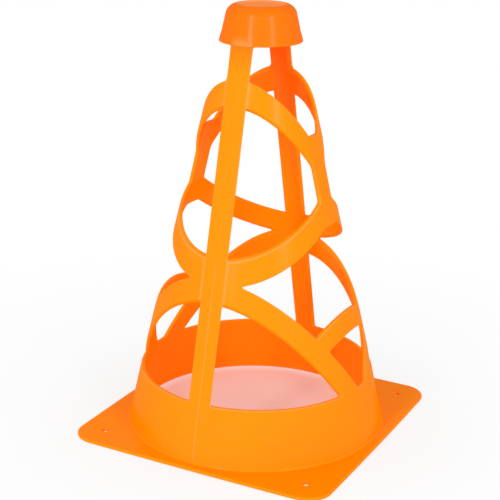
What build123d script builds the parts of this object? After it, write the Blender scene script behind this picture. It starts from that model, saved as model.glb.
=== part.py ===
"""Lattice sports marker cone, moulded in soft plastic.

A square base plate carries a conical skirt ring. Two straight legs rise from the skirt to a hollow cap,
and slanting bands, side struts and arched cross bars tie them into one open conical wall. The windows
between them are cut straight along X, the way the mould's slides pull, so each member is the
conical wall kept inside an outline drawn in the side view.

Frame: +Z up, the origin on the floor under the cone's axis, the front leg towards -Y.
"""
import os
from math import atan2, cos, hypot, pi, radians, sin, tan

from build123d import *

# Driving dimensions, in millimetres and degrees

# Overall
total_height = 230.0
wall = 2.2

# Base plate
base_side = 150.0
base_thickness = 2.0
base_side_bow = 0.6
base_corner_radius = 13.0
base_edge_radius = 0.8
floor_ledge = 1.5
corner_hole_radius = 1.9
corner_hole_inset = 14.4

# Skirt ring. The margin is the strip of plate outside its foot, the draw is how far its rim leans in.
skirt_margin = 4.3
skirt_draw = 6.9
skirt_rim_height = 32.8
skirt_foot_fillet = 0.8

# Cap. The lip is the flat ring between its round shoulder and its dish.
cap_height = 19.1
cap_rim_radius = 21.4
cap_overhang = 0.3
cap_lean = 12.5
cap_edge_radius = 0.5
cap_shoulder_radius = 4.7
cap_lip = 1.25
cap_dish_depth = 1.0

# Legs
leg_outer_width = 13.5
leg_inner_width = 10.0
leg_flat_depth = 0.3

# Bands in the side view. A height or depth is taken where an edge's line crosses the middle of the
# view, and a pitch is the line's slant from there towards the legs.
upper_band_depth = 17.0
upper_band_pitch = 56.6
upper_web_rise = 8.1
upper_web_radius = 1.2
middle_band_top = 136.5
middle_band_depth = 13.1
middle_band_top_pitch = -33.7
middle_band_bottom_pitch = -32.2
middle_arch_drop = 4.6
middle_arch_radius = 2.0
lower_band_top = 26.5
lower_band_depth = 25.5
lower_band_top_pitch = 55.4
lower_band_bottom_pitch = 58.7

# Side struts and cross bars
strut_height = 3.9
strut_width = 13.0
strut_flare_radius = 1.2
cross_bar_crown = 73.6
cross_bar_depth = 11.1
cross_bar_arch_radius = 47.0
cross_bar_flare_radius = 2.0

# Derived sizes: the base and the cone
skirt_foot_radius = base_side / 2 - skirt_margin
skirt_rim_radius = skirt_foot_radius - skirt_draw
floor_opening_radius = skirt_foot_radius - wall - floor_ledge
corner_hole_spacing = base_side - 2 * corner_hole_inset
cap_rim_height = total_height - cap_height
lattice_top_radius = cap_rim_radius - cap_overhang
cone_height = cap_rim_height - skirt_rim_height
cone_taper = skirt_rim_radius - lattice_top_radius
leg_lean = atan2(cone_taper, cone_height)
leg_length = hypot(cone_taper, cone_height)
leg_overrun = 2 * wall

# Derived sizes: the side view, as far out as the cone is wide
reach = skirt_rim_radius + wall
middle_band_bottom = middle_band_top - middle_band_depth
middle_arch_height = middle_band_bottom - middle_arch_drop
middle_arch_out = -middle_arch_drop / tan(radians(middle_band_bottom_pitch))
upper_band_bottom = middle_band_top + strut_height
upper_band_top = upper_band_bottom + upper_band_depth
upper_web_height = upper_band_top + upper_web_rise
lower_band_bottom = lower_band_top - lower_band_depth
cross_bar_half_angle = radians(45)
cross_bar_half_span = cross_bar_arch_radius * sin(cross_bar_half_angle)

os.makedirs("parts", exist_ok=True)


def edge_height(middle_height, pitch, out):
    """Height of a band's edge at a distance out from the middle of the side view."""
    return middle_height + out * tan(radians(pitch))


def edge_distance(middle_height, pitch, height):
    """Distance out from the middle at which a band's edge reaches a height."""
    return (height - middle_height) / tan(radians(pitch))


def save(part, name):
    """Label one finished piece and write it to its own file."""
    part.label = name
    export_step(part, f"parts/{name}.step")


def cone_section(outer_extra=0.0):
    """Half section of the conical wall, with its outer face moved out by outer_extra."""
    inner_rim = skirt_rim_radius - wall
    inner_top = lattice_top_radius - wall
    with BuildSketch(Plane.XZ) as section:
        with BuildLine():
            Polyline(
                (inner_rim, skirt_rim_height),
                (skirt_rim_radius + outer_extra, skirt_rim_height),
                (lattice_top_radius + outer_extra, cap_rim_height),
                (inner_top, cap_rim_height),
                close=True,
            )
        make_face()
    return section.sketch


def leg_plane(facing):
    """Plane across a leg, a little under the skirt's rim: normal up the leg, local +Y inwards."""
    rim_plane = Plane(
        origin=(0, facing * skirt_rim_radius, skirt_rim_height),
        x_dir=(-facing, 0, 0),
        z_dir=(0, -facing * sin(leg_lean), cos(leg_lean)),
    )
    return rim_plane.offset(-leg_overrun)


def leg_half_width(depth):
    """Half the leg's width at a depth below the cone, narrower towards the hollow."""
    inner_depth = wall * cos(leg_lean)
    narrowing = (leg_outer_width - leg_inner_width) / 2
    return leg_outer_width / 2 - narrowing * (depth - leg_flat_depth) / (inner_depth - leg_flat_depth)


def leg_outline(facing, outer_depth, inner_depth):
    """Tapered section of a leg between two depths below the cone."""
    with BuildSketch(leg_plane(facing)) as section:
        with BuildLine():
            Polyline(
                (-leg_half_width(outer_depth), outer_depth),
                (leg_half_width(outer_depth), outer_depth),
                (leg_half_width(inner_depth), inner_depth),
                (-leg_half_width(inner_depth), inner_depth),
                close=True,
            )
        make_face()
    return section.sketch


# The room that both legs take, a little past the wall's faces, to trim the bands to the legs' sides
with BuildPart() as leg_room:
    for facing in (-1, 1):
        extrude(leg_outline(facing, -wall, 2 * wall), amount=leg_length + 2 * leg_overrun)


def wall_member(outlines, side):
    """The conical wall inside every one of the side-view outlines, on one side of the cone."""
    with BuildPart() as member:
        revolve(cone_section(), axis=Axis.Z)
        for outline in outlines:
            extrude(outline, amount=side * reach, mode=Mode.INTERSECT)
        add(leg_room.part, mode=Mode.SUBTRACT)
    return member.part


def side_outline(points, end=1, rounded=(), radius=0.0):
    """Outline in the side view from points of distance out and height, with some corners rounded."""
    with BuildSketch(Plane.YZ) as outline:
        with BuildLine():
            Polyline(*[(end * out, height) for out, height in points], close=True)
        make_face()
        for out, height in rounded:
            corner = outline.vertices().sort_by_distance((end * out, height))[0]
            fillet(corner, radius=radius)
    return outline.sketch


def upper_band_outline(end):
    """Strip from high on a leg down to the side strut, with a flat web at its low end."""
    web_corner = (edge_distance(upper_band_top, upper_band_pitch, upper_web_height), upper_web_height)
    return side_outline(
        [
            (0, upper_band_bottom),
            (reach, edge_height(upper_band_bottom, upper_band_pitch, reach)),
            (reach, edge_height(upper_band_top, upper_band_pitch, reach)),
            web_corner,
            (0, upper_web_height),
        ],
        end,
        rounded=[web_corner],
        radius=upper_web_radius,
    )


def middle_band_outline(end):
    """Strip from low on a leg up to the side strut, flattened under its crown."""
    arch_corner = (middle_arch_out, middle_arch_height)
    return side_outline(
        [
            (0, middle_arch_height),
            arch_corner,
            (reach, edge_height(middle_band_bottom, middle_band_bottom_pitch, reach)),
            (reach, edge_height(middle_band_top, middle_band_top_pitch, reach)),
            (0, middle_band_top),
        ],
        end,
        rounded=[arch_corner],
        radius=middle_arch_radius,
    )


def below_lower_top(end):
    """Everything under the lower band's top edge."""
    far_top = edge_height(lower_band_top, lower_band_top_pitch, reach)
    return side_outline([(0, -reach), (reach, -reach), (reach, far_top), (0, lower_band_top)], end)


def above_lower_bottom(end):
    """Everything over the lower band's bottom edge."""
    far_bottom = edge_height(lower_band_bottom, lower_band_bottom_pitch, reach)
    high = far_bottom + total_height
    return side_outline([(0, lower_band_bottom), (reach, far_bottom), (reach, high), (0, high)], end)


def below_middle_band(end):
    """Everything under the middle band, which the lower band ends against."""
    return side_outline(
        [
            (0, -reach),
            (reach, -reach),
            (reach, edge_height(middle_band_bottom, middle_band_bottom_pitch, reach)),
            (middle_arch_out, middle_arch_height),
            (0, middle_arch_height),
        ],
        end,
    )


def between_bands():
    """The window between the middle and upper bands, which the strut stands across."""
    foot = edge_height(middle_band_top, middle_band_top_pitch, reach)
    head = edge_height(upper_band_bottom, upper_band_pitch, reach)
    return side_outline(
        [
            (0, middle_band_top),
            (reach, foot),
            (reach, head),
            (0, upper_band_bottom),
            (-reach, head),
            (-reach, foot),
        ]
    )


def strut_outline():
    """Upright that flares into the bands at its foot and head, run on past them."""
    out = strut_width / 2
    foot = edge_height(middle_band_top, middle_band_top_pitch, out)
    head = edge_height(upper_band_bottom, upper_band_pitch, out)
    far_foot = edge_height(middle_band_top, middle_band_top_pitch, reach)
    far_head = edge_height(upper_band_bottom, upper_band_pitch, reach)
    return side_outline(
        [
            (-reach, far_foot),
            (-reach, -reach),
            (reach, -reach),
            (reach, far_foot),
            (out, foot),
            (out, head),
            (reach, far_head),
            (-reach, far_head),
            (-out, head),
            (-out, foot),
        ],
        rounded=[(out, foot), (out, head), (-out, head), (-out, foot)],
        radius=strut_flare_radius,
    )


def cross_bar_outline():
    """Arched bar of even depth that flares into the lower bands, run on past them."""
    out = cross_bar_half_span
    high_end = cross_bar_crown - cross_bar_arch_radius * (1 - cos(cross_bar_half_angle))
    low_crown = cross_bar_crown - cross_bar_depth
    low_end = high_end - cross_bar_depth
    far_band = edge_height(lower_band_top, lower_band_top_pitch, reach)
    with BuildSketch(Plane.YZ) as outline:
        with BuildLine():
            upper = ThreePointArc((-out, high_end), (0, cross_bar_crown), (out, high_end))
            lower = ThreePointArc((out, low_end), (0, low_crown), (-out, low_end))
            Line(upper @ 1, lower @ 0)
            Line(lower @ 1, upper @ 0)
        make_face()
        with BuildLine():
            Polyline(
                (0, lower_band_top),
                (reach, far_band),
                (reach, -reach),
                (-reach, -reach),
                (-reach, far_band),
                close=True,
            )
        make_face()
        for corner in outline.vertices():
            if 0 < abs(corner.X) < out and corner.Y > lower_band_top:
                fillet(outline.vertices().sort_by_distance(corner)[0], radius=cross_bar_flare_radius)
    return outline.sketch


def between_lower_bands():
    """The notch between the two lower bands of one side, which the cross bar fills across."""
    high = edge_height(lower_band_top, lower_band_top_pitch, reach)
    return side_outline([(0, lower_band_top), (reach, high), (-reach, high)])


# Base plate: a square with slightly swollen sides, a round floor opening and a hole near each corner
with BuildPart() as base_plate:
    half = base_side / 2
    with BuildSketch() as plate_outline:
        with BuildLine():
            for turn in range(4):
                corner = Vector(half, -half).rotate(Axis.Z, 90 * turn)
                middle = Vector(half + base_side_bow, 0).rotate(Axis.Z, 90 * turn)
                next_corner = Vector(half, half).rotate(Axis.Z, 90 * turn)
                ThreePointArc(corner, middle, next_corner)
        make_face()
        fillet(plate_outline.vertices(), radius=base_corner_radius)
        Circle(floor_opening_radius, mode=Mode.SUBTRACT)
        with GridLocations(corner_hole_spacing, corner_hole_spacing, 2, 2):
            Circle(corner_hole_radius, mode=Mode.SUBTRACT)
    extrude(amount=base_thickness)
    flat_faces = base_plate.faces().filter_by(Axis.Z)
    rims = [face.outer_wire().edges() for face in flat_faces]
    fillet(rims, radius=base_edge_radius)
save(base_plate.part, "base_plate")

# Skirt ring: a conical wall from the plate to the rim that carries the lattice, filleted to the plate
with BuildPart() as skirt_ring:
    skirt_lean = atan2(skirt_draw, skirt_rim_height - base_thickness)
    setback = skirt_foot_fillet / tan((pi / 2 + skirt_lean) / 2)
    fillet_foot = (skirt_foot_radius + setback, base_thickness)
    fillet_top = (
        skirt_foot_radius - setback * sin(skirt_lean),
        base_thickness + setback * cos(skirt_lean),
    )
    with BuildSketch(Plane.XZ) as skirt_section:
        with BuildLine():
            TangentArc(fillet_foot, fillet_top, tangent=(-1, 0))
            Polyline(
                fillet_top,
                (skirt_rim_radius, skirt_rim_height),
                (skirt_rim_radius - wall, skirt_rim_height),
                (skirt_foot_radius - wall, base_thickness),
                fillet_foot,
            )
        make_face()
    revolve(axis=Axis.Z)
save(skirt_ring.part, "skirt_ring")

# Legs: flat outer faces sunk a little below the cone, sides that draw in, inner faces on the cone
for facing, name in ((-1, "front_leg"), (1, "back_leg")):
    with BuildPart() as leg:
        revolve(cone_section(outer_extra=wall), axis=Axis.Z)
        bar = leg_outline(facing, leg_flat_depth, 2 * wall)
        extrude(bar, amount=leg_length + 2 * leg_overrun, mode=Mode.INTERSECT)
    save(leg.part, name)

# Bands: the same three on each quarter of the cone
for side, side_name in ((1, "right"), (-1, "left")):
    for end, end_name in ((-1, "front"), (1, "back")):
        quarter = f"{end_name}_{side_name}"
        save(wall_member([upper_band_outline(end)], side), f"upper_band_{quarter}")
        save(wall_member([middle_band_outline(end)], side), f"middle_band_{quarter}")
        lower_outlines = [below_lower_top(end), above_lower_bottom(end), below_middle_band(end)]
        save(wall_member(lower_outlines, side), f"lower_band_{quarter}")

# Side struts and cross bars: one of each on both sides
for side, side_name in ((1, "right"), (-1, "left")):
    save(wall_member([strut_outline(), between_bands()], side), f"{side_name}_strut")
    cross_bar_outlines = [cross_bar_outline(), between_lower_bands()]
    save(wall_member(cross_bar_outlines, side), f"{side_name}_cross_bar")

# Cap: a hollow cup turned over, with a round shoulder and a shallow dish in its top
with BuildPart() as top_cap:
    lean = tan(radians(cap_lean))
    shoulder_setback = cap_shoulder_radius * tan(radians(90 - cap_lean) / 2)
    cap_top_radius = cap_rim_radius - lean * cap_height
    dish_radius = cap_top_radius - shoulder_setback - cap_lip
    dish_floor = total_height - cap_dish_depth
    ceiling = dish_floor - wall
    with BuildSketch(Plane.XZ) as cap_section:
        with BuildLine():
            Polyline(
                (cap_rim_radius - wall, cap_rim_height),
                (cap_rim_radius, cap_rim_height),
                (cap_top_radius, total_height),
                (dish_radius, total_height),
                (dish_radius - cap_dish_depth, dish_floor),
                (0, dish_floor),
                (0, ceiling),
                (cap_rim_radius - wall - lean * (ceiling - cap_rim_height), ceiling),
                close=True,
            )
        make_face()
        shoulder = cap_section.vertices().group_by(Axis.Y)[-1].sort_by(Axis.X)[-1]
        fillet(shoulder, radius=cap_shoulder_radius)
        outer_edge = cap_section.vertices().sort_by(Axis.X)[-1]
        fillet(outer_edge, radius=cap_edge_radius)
    revolve(axis=Axis.Z)
save(top_cap.part, "top_cap")
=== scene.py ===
"""Looks of the lattice sports marker cone: one soft plastic moulding, cut into its named members.

The moulding is drawn as a signed distance: a turned wall with windows cut through it along X, standing on
a square plate, with every edge and corner rounded. A mesh is laid on that surface, cut along the joint
lines of the construction, and each member takes the place of the node of the same name.
"""
from collections import namedtuple
from functools import lru_cache
from math import cos, radians, sin, tan

import bmesh
import bpy
import numpy as np
from bpy.props import FloatProperty, FloatVectorProperty, PointerProperty
from mathutils import Matrix, Vector


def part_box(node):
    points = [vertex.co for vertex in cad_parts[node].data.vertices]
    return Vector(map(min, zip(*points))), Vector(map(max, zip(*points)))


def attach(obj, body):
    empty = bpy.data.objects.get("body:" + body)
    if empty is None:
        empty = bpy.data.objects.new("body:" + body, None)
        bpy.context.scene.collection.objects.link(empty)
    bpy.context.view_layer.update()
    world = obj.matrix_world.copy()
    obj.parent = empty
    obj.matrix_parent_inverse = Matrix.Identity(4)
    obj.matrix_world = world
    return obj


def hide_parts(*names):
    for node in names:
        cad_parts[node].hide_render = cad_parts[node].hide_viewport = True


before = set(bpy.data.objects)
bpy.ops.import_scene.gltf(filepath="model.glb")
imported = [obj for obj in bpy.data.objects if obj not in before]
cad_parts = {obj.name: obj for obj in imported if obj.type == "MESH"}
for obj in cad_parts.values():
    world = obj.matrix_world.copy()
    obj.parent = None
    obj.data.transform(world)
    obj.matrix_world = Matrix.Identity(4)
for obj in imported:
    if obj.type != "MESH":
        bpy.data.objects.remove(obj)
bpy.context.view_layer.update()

bl_info = {
    "name": "Sports Marker Cone",
    "version": (1, 0, 0),
    "blender": (4, 5, 0),
    "location": "View3D > Sidebar > Marker Cone",
    "description": "Moulded lattice marker cone with its plastic finish and studio stage",
    "category": "Object",
}

MM = 0.001

# Turned wall
WALL = 2.2 * MM
SKIRT_FOOT_RADIUS = 70.7 * MM
LATTICE_TOP_RADIUS = 21.1 * MM
CAP_RIM_RADIUS = 21.4 * MM
CAP_LEAN = radians(12.5)
CAP_SHOULDER_RADIUS = 4.7 * MM
CAP_CEILING_RADIUS = 2.5 * MM
CAP_FLAT_PROUD = 0.03 * MM
CAP_FLAT_EDGE_RADIUS = 0.2 * MM
DISH_RADIUS = 12.1 * MM
DISH_DEPTH = 1.0 * MM
DISH_FLOOR_RADIUS = 0.8 * MM
DISH_LIP_RADIUS = 0.5 * MM

# Plate
PLATE_HALF = 75.0 * MM
PLATE_BOW = 0.6 * MM
PLATE_CORNER_RADIUS = 13.0 * MM
PLATE_EDGE_RADIUS = 0.8 * MM
FLOOR_OPENING_RADIUS = 67.0 * MM
FLOOR_OPENING_EDGE = 0.7 * MM
CORNER_HOLE_OUT = 60.6 * MM
CORNER_HOLE_RADIUS = 1.9 * MM
CORNER_HOLE_EDGE = 0.5 * MM

# Legs
LEG_INNER_HALF_WIDTH = 5.0 * MM
LEG_FLAT_DEPTH = 0.3 * MM
PARTING_WIDTH = 0.25 * MM

# Sizes that the construction gives
TOTAL_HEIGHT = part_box("top_cap")[1][2]
CAP_RIM_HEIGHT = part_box("top_cap")[0][2]
RIM_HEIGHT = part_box("skirt_ring")[1][2]
PLATE_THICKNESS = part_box("base_plate")[1][2]
LEG_HALF_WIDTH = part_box("front_leg")[1][0]
RIM_RADIUS = -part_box("front_leg")[0][1] + LEG_FLAT_DEPTH
DISH_FLOOR = TOTAL_HEIGHT - DISH_DEPTH

# Straight edges of the bands in the side view: height at the middle, and slant towards the legs
Edge = namedtuple("Edge", "height pitch")
UPPER_TOP = Edge(157.4 * MM, radians(56.6))
UPPER_BOTTOM = Edge(140.4 * MM, radians(56.6))
MIDDLE_TOP = Edge(136.5 * MM, radians(-33.7))
MIDDLE_BOTTOM = Edge(123.4 * MM, radians(-32.2))
LOWER_TOP = Edge(26.5 * MM, radians(55.4))
LOWER_BOTTOM = Edge(1.0 * MM, radians(58.7))
WEB_HEIGHT = 165.5 * MM
ARCH_HEIGHT = 118.8 * MM
STRUT_HALF_WIDTH = 6.5 * MM
BAR_CROWN = 73.6 * MM
BAR_DEPTH = 11.1 * MM
BAR_RADIUS = 47.0 * MM

# Slopes of the wall
CONE_SLOPE = (RIM_RADIUS - LATTICE_TOP_RADIUS) / (CAP_RIM_HEIGHT - RIM_HEIGHT)
SKIRT_SLOPE = (SKIRT_FOOT_RADIUS - RIM_RADIUS) / (RIM_HEIGHT - PLATE_THICKNESS)
CONE_COSINE = 1 / np.hypot(1, CONE_SLOPE)
LEG_DEPTH = WALL * CONE_COSINE
LEG_SIDE_SLOPE = (LEG_HALF_WIDTH - LEG_INNER_HALF_WIDTH) / (LEG_DEPTH - LEG_FLAT_DEPTH)
LEG_SIDE_COSINE = 1 / np.hypot(1, LEG_SIDE_SLOPE)

# Where one form of the wall passes into the next: heights over the cap's rim and over the floor, and
# distances from the skirt's rim and from the legs' sides
CAP_STEP = (-0.25 * MM, 0.35 * MM)
INNER_CAP_STEP = (-1.0 * MM, 1.0 * MM)
RIM_FLARE_FADE = (0.8 * MM, 6.0 * MM)
PARTING_FOOT = (5.0 * MM, 9.0 * MM)
LEG_FOOT_BELOW = 2.0 * MM
LEG_FOOT_ABOVE = 2.5 * MM
LEG_FACE_OUT = 0.5 * MM
LEG_FACE_IN = 0.4 * MM

# Painted highlights and reflections, and painted shade: how strong each is, from 0 to 1, and where it
# begins and ends
EDGE_HIGHLIGHT = 0.55
LINE_HIGHLIGHT = 0.4
FLAT_HIGHLIGHT = 0.3
FLAT_HIGHLIGHT_FADE = (5.5 * MM, 1.0 * MM)
DISH_REFLECTION = 0.55
DISH_REFLECTION_DEPTH = 0.6 * MM
DISH_REFLECTION_PAST = 1.5 * MM
FACE_SKIN = 0.3 * MM
FOOT_CLEAR = 2.0 * MM
PAINTED_SHADE_STRENGTH = 0.75
INNER_SKIN = (0.9 * MM, 0.3 * MM)
LEG_SIDE_DEPTH = (-0.5 * MM, -0.9 * MM)
LEG_SIDE_OUT = 1.0 * MM

# How far the cap's painted shade reaches below and above its rim, and how much of the noise shows as scuffs
CAP_SHADE_BELOW = 16 * MM
CAP_SHADE_ABOVE = 5 * MM
SCUFF_RANGE = (0.60, 0.78)
SCUFF_STRENGTH = 0.12

# Floor: how white it shows, and where the pink bounce light painted under the cone ends, at shares of the
# reach from the cone's axis
FLOOR_HALF = 8.0
FLOOR_DROP = 0.1 * MM
FLOOR_WHITE = 0.93
FLOOR_REACH = 4 * PLATE_HALF
FLOOR_LEVELS = ((0.21, 0.55), (0.27, 0.78), (0.45, 0.90), (1.0, 1.0))
PAINTED_BOUNCE_COLOUR = (1.0, 0.45, 0.38)
PAINTED_BOUNCE_EDGE = (0.20, 0.25)

# Lamps and camera
SOFTBOX_SWINGS = {"left_softbox": radians(-32), "right_softbox": radians(34)}
SOFTBOX_ELEVATION = radians(24)
SOFTBOX_DISTANCE = 1.0
SOFTBOX_SIZE = (0.12, 0.6)
TOP_LIGHT_ELEVATION = radians(80)
TOP_LIGHT_DISTANCE = 1.1
TOP_LIGHT_SIZE = (0.8, 0.8)
SENSOR_WIDTH = 36.0
NEAREST_SEEN = 0.01

# Laying and cutting of the mesh: the margin is in grid steps, the parting cuts are in widths of the
# parting line, and a cut's edge over the ring length runs round the whole wall
GRID_MARGIN = 3
SLOPE_STEP = 0.004 * MM
LEAST_SLOPE_SQUARE = 0.05
GREATEST_BEND = radians(20)
PARTING_CUTS = (-2, -1, 1, 2)
ON_LINE = 0.04 * MM
SEAM = 0.2 * MM
RING_LENGTH = 4 * RIM_RADIUS

# Members of the moulding, named as the construction's nodes, family by family
SIDES = ("right", "left")
ENDS = ("front", "back")
QUARTERS = [f"{end}_{side}" for side in SIDES for end in ENDS]
FAMILIES = {
    "base_plate": ["base_plate"],
    "skirt_ring": ["skirt_ring"],
    "top_cap": ["top_cap"],
    "legs": [f"{end}_leg" for end in ENDS],
    "upper_bands": [f"upper_band_{quarter}" for quarter in QUARTERS],
    "struts": [f"{side}_strut" for side in SIDES],
    "middle_bands": [f"middle_band_{quarter}" for quarter in QUARTERS],
    "cross_bars": [f"{side}_cross_bar" for side in SIDES],
    "lower_bands": [f"lower_band_{quarter}" for quarter in QUARTERS],
}
MEMBERS = [name for names in FAMILIES.values() for name in names]


class MouldingSizes(bpy.types.PropertyGroup):
    """Roundings and small forms that the mould gives the plastic."""
    edge_radius: FloatProperty(
        name="Edge Rounding", description="Rounding of the edges of every window",
        default=0.55 * MM, min=0.1 * MM, unit="LENGTH", precision=5)
    corner_radius: FloatProperty(
        name="Window Corner", description="Fillet in the corners of the windows",
        default=0.9 * MM, min=0.1 * MM, unit="LENGTH", precision=5)
    foot_radius: FloatProperty(
        name="Foot Fillet", description="Fillet between the skirt and the plate",
        default=0.8 * MM, min=0.1 * MM, unit="LENGTH", precision=5)
    inner_fillet: FloatProperty(
        name="Inner Fillet", description="Fillet between the inside of the skirt and the plate",
        default=1.2 * MM, min=0.1 * MM, unit="LENGTH", precision=5)
    leg_draft: FloatProperty(
        name="Leg Draft", description="Slant of each half of a leg's face away from the parting line",
        default=radians(2.4), subtype="ANGLE")
    leg_proud: FloatProperty(
        name="Leg Relief", description="How far the legs stand out past the flats of the construction",
        default=0.2 * MM, unit="LENGTH", precision=5)
    rim_flare: FloatProperty(
        name="Cap Rim Flare", description="How far the cap swells out at its rim",
        default=0.35 * MM, unit="LENGTH", precision=5)
    parting_height: FloatProperty(
        name="Parting Line", description="Height of the fine ridge where the mould halves meet",
        default=0.16 * MM, unit="LENGTH", precision=5)
    pitch: FloatProperty(
        name="Mesh Pitch", description="Spacing of the mesh laid on the surface",
        default=0.85 * MM, min=0.4 * MM, unit="LENGTH", precision=5)


Sizes = namedtuple("Sizes", list(MouldingSizes.__annotations__))


class PlasticFinish(bpy.types.PropertyGroup):
    """Colours and gloss of the orange plastic, and the colours of its painted shade, painted highlights and
    painted glow.
    """
    body_colour: FloatVectorProperty(
        name="Body Colour", description="Main colour of the pigment",
        default=(1.0, 0.28, 0.0), size=3, min=0, max=1, subtype="COLOR")
    flow_colour: FloatVectorProperty(
        name="Flow Colour", description="Colour of the streaks where the pigment is denser",
        default=(0.99, 0.255, 0.0), size=3, min=0, max=1, subtype="COLOR")
    # Pales the colour for the scuffs, and also for the painted highlights and reflections
    scuff_colour: FloatVectorProperty(
        name="Scuff Colour", description="Colour of fine scuffs and rubbed edges",
        default=(1.0, 0.42, 0.14), size=3, min=0, max=1, subtype="COLOR")
    # Painted shade: the cap is coloured deeper because no light shines through it
    cap_colour: FloatVectorProperty(
        name="Cap Colour", description="Deeper colour of the closed cap, which no light shines through",
        default=(0.98, 0.17, 0.0), size=3, min=0, max=1, subtype="COLOR")
    # Painted shade: deep red painted where little light reaches inside the narrow top
    inner_colour: FloatVectorProperty(
        name="Inner Colour", description="Deep red of the inner faces up in the narrow top",
        default=(1.0, 0.10, 0.0), size=3, min=0, max=1, subtype="COLOR")
    body_roughness: FloatProperty(
        name="Body Roughness", description="Roughness of the plastic under its skin",
        default=0.5, min=0, max=1, subtype="FACTOR")
    gloss: FloatProperty(
        name="Gloss", description="Strength of the thin glossy skin",
        default=0.075, min=0, max=1, subtype="FACTOR")
    skin_roughness: FloatProperty(
        name="Skin Roughness", description="Softness of the highlights on the skin",
        default=0.22, min=0, max=1, subtype="FACTOR")
    skin_ior: FloatProperty(
        name="Skin IOR", description="Refractive index of the skin; a high one keeps the edges from paling",
        default=2.0, min=1, max=4)
    # Painted glow: a constant red emission, which lifts the red in shaded faces and glows under any light,
    # also in the dark
    glow_colour: FloatVectorProperty(
        name="Glow Colour", description="Colour of the light that the fluorescent pigment gives back",
        default=(1.0, 0.12, 0.0), size=3, min=0, max=1, subtype="COLOR")
    # Strength of the painted glow
    day_glow: FloatProperty(
        name="Day Glow", description="Strength of the light that the pigment gives back",
        default=0.13, min=0, max=1, subtype="FACTOR")


class StudioStage(bpy.types.PropertyGroup):
    """Camera, light and floor."""
    camera_azimuth: FloatProperty(
        name="Camera Azimuth", description="Direction of the camera round the cone",
        default=radians(27.41), subtype="ANGLE")
    camera_distance: FloatProperty(
        name="Camera Distance", description="Level distance from the cone's axis",
        default=0.6466, unit="LENGTH")
    camera_height: FloatProperty(
        name="Camera Height", description="Height of the camera over the floor",
        default=0.3162, unit="LENGTH")
    camera_pitch: FloatProperty(
        name="Camera Pitch", description="How far the camera looks down",
        default=radians(18.656), subtype="ANGLE")
    camera_yaw: FloatProperty(
        name="Camera Yaw", description="How far the camera looks to its right",
        default=radians(-0.384), subtype="ANGLE")
    camera_roll: FloatProperty(
        name="Camera Roll", description="Turn of the camera about its view",
        default=radians(0.694), subtype="ANGLE")
    lens: FloatProperty(
        name="Lens", description="Focal length", default=90.96, min=1, unit="CAMERA")
    sky: FloatProperty(
        name="Sky", description="Strength of the white light from all sides", default=0.88, min=0)
    sky_overhead: FloatProperty(
        name="Sky Overhead", description="Strength of the white light from above", default=0.38, min=0)
    key_power: FloatProperty(
        name="Left Softbox Power", description="Power of the left front softbox",
        default=3.4, min=0, unit="POWER")
    fill_power: FloatProperty(
        name="Right Softbox Power", description="Power of the right front softbox",
        default=2.6, min=0, unit="POWER")
    top_power: FloatProperty(
        name="Top Light Power", description="Power of the light overhead",
        default=0.3, min=0, unit="POWER")


def round_max(first, second, radius):
    """The larger of two distances, which keeps what both forms share, with a rounded edge."""
    inside = np.minimum(np.maximum(first, second), -radius)
    return inside + np.hypot(np.maximum(first + radius, 0), np.maximum(second + radius, 0))


def round_min(first, second, radius):
    """The smaller of two distances, which joins two forms, with a fillet between them."""
    return -round_max(-first, -second, radius)


def ease(value, start, end):
    """Smooth step from 0 at start to 1 at end."""
    share = np.clip((value - start) / (end - start), 0, 1)
    return share * share * (3 - 2 * share)


def above(edge, out, height):
    """Distance above a band's straight edge in the side view."""
    return (height - edge.height - out * tan(edge.pitch)) * cos(edge.pitch)


def lattice_radius(height):
    """Outer radius of the cone that carries the lattice."""
    return RIM_RADIUS - (height - RIM_HEIGHT) * CONE_SLOPE


def wall_radius(height):
    """Outer radius of the plain wall: the skirt up to its rim, and the lattice's cone above."""
    skirt = RIM_RADIUS + (RIM_HEIGHT - height) * SKIRT_SLOPE
    return np.where(height < RIM_HEIGHT, skirt, lattice_radius(height))


def cap_radius(height):
    """Outer radius of the plain cap."""
    return CAP_RIM_RADIUS - (height - CAP_RIM_HEIGHT) * tan(CAP_LEAN)


def leg_depth(out, height):
    """Depth of a point under the line down the middle of a leg."""
    return (lattice_radius(height) - out) * CONE_COSINE


def leg_side(across, out, height):
    """Distance from a leg's slanted side, negative outside the leg."""
    half_width = LEG_HALF_WIDTH - LEG_SIDE_SLOPE * (leg_depth(out, height) - LEG_FLAT_DEPTH)
    return (half_width - across) * LEG_SIDE_COSINE


def middle_roof(out, height, corner):
    """Distance above the flattened underside of the middle bands."""
    return round_max(above(MIDDLE_BOTTOM, out, height), height - ARCH_HEIGHT, corner)


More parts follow.
